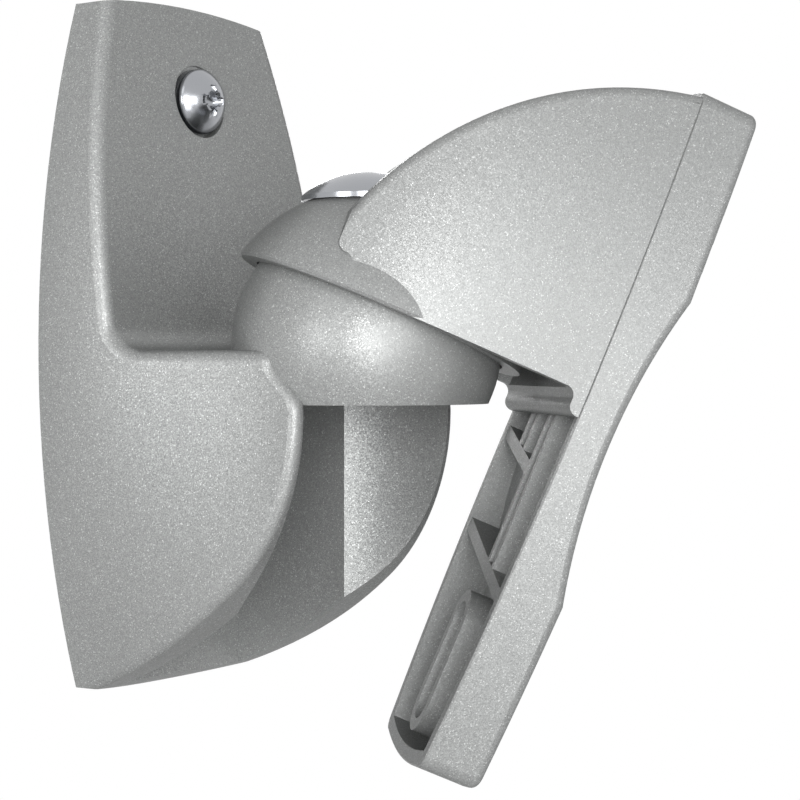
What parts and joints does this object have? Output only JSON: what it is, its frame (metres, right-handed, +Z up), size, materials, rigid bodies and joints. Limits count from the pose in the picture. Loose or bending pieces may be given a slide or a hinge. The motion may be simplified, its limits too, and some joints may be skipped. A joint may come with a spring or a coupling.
{
  "type": "speaker wall bracket",
  "caption": "Wall bracket for a small loudspeaker: a barrel-shaped wall casting with a ball, and a hooded arm with a ribbed plate that swivels and tilts on it.",
  "frame": {"origin": "centre of the wall plate's back face, level with the centre of the ball", "axes": "+Y into the wall, +Z up, so the bracket stands out along -Y"},
  "size_m": [0.0736, 0.1026, 0.1127],
  "materials": {
    "casting": "silver-grey paint with fine metallic flecks",
    "screw": "bright chromed steel"
  },
  "bodies": {
    "wall": {"wall_bracket": "casting", "upper_wall_screw": "screw", "lower_wall_screw": "screw", "clamp_nut": "screw"},
    "clamp": {"clamp_screw": "screw"},
    "speaker": {"speaker_arm": "casting", "speaker_plate": "casting", "left_plate_screw": "screw", "right_plate_screw": "screw"}
  },
  "joints": [
    {"name": "swivel", "type": "hinge", "parent": "wall", "child": "clamp", "pos_m": [0, -0.0394, 0], "axis": [0, 0, 1], "range_deg": [-88.9, 1.1]},
    {"name": "tilt", "type": "hinge", "parent": "clamp", "child": "speaker", "pos_m": [0, -0.0394, 0], "axis": [0.7206, 0.6934, 0], "range_deg": [-23.4, 1.6]}
  ]
}
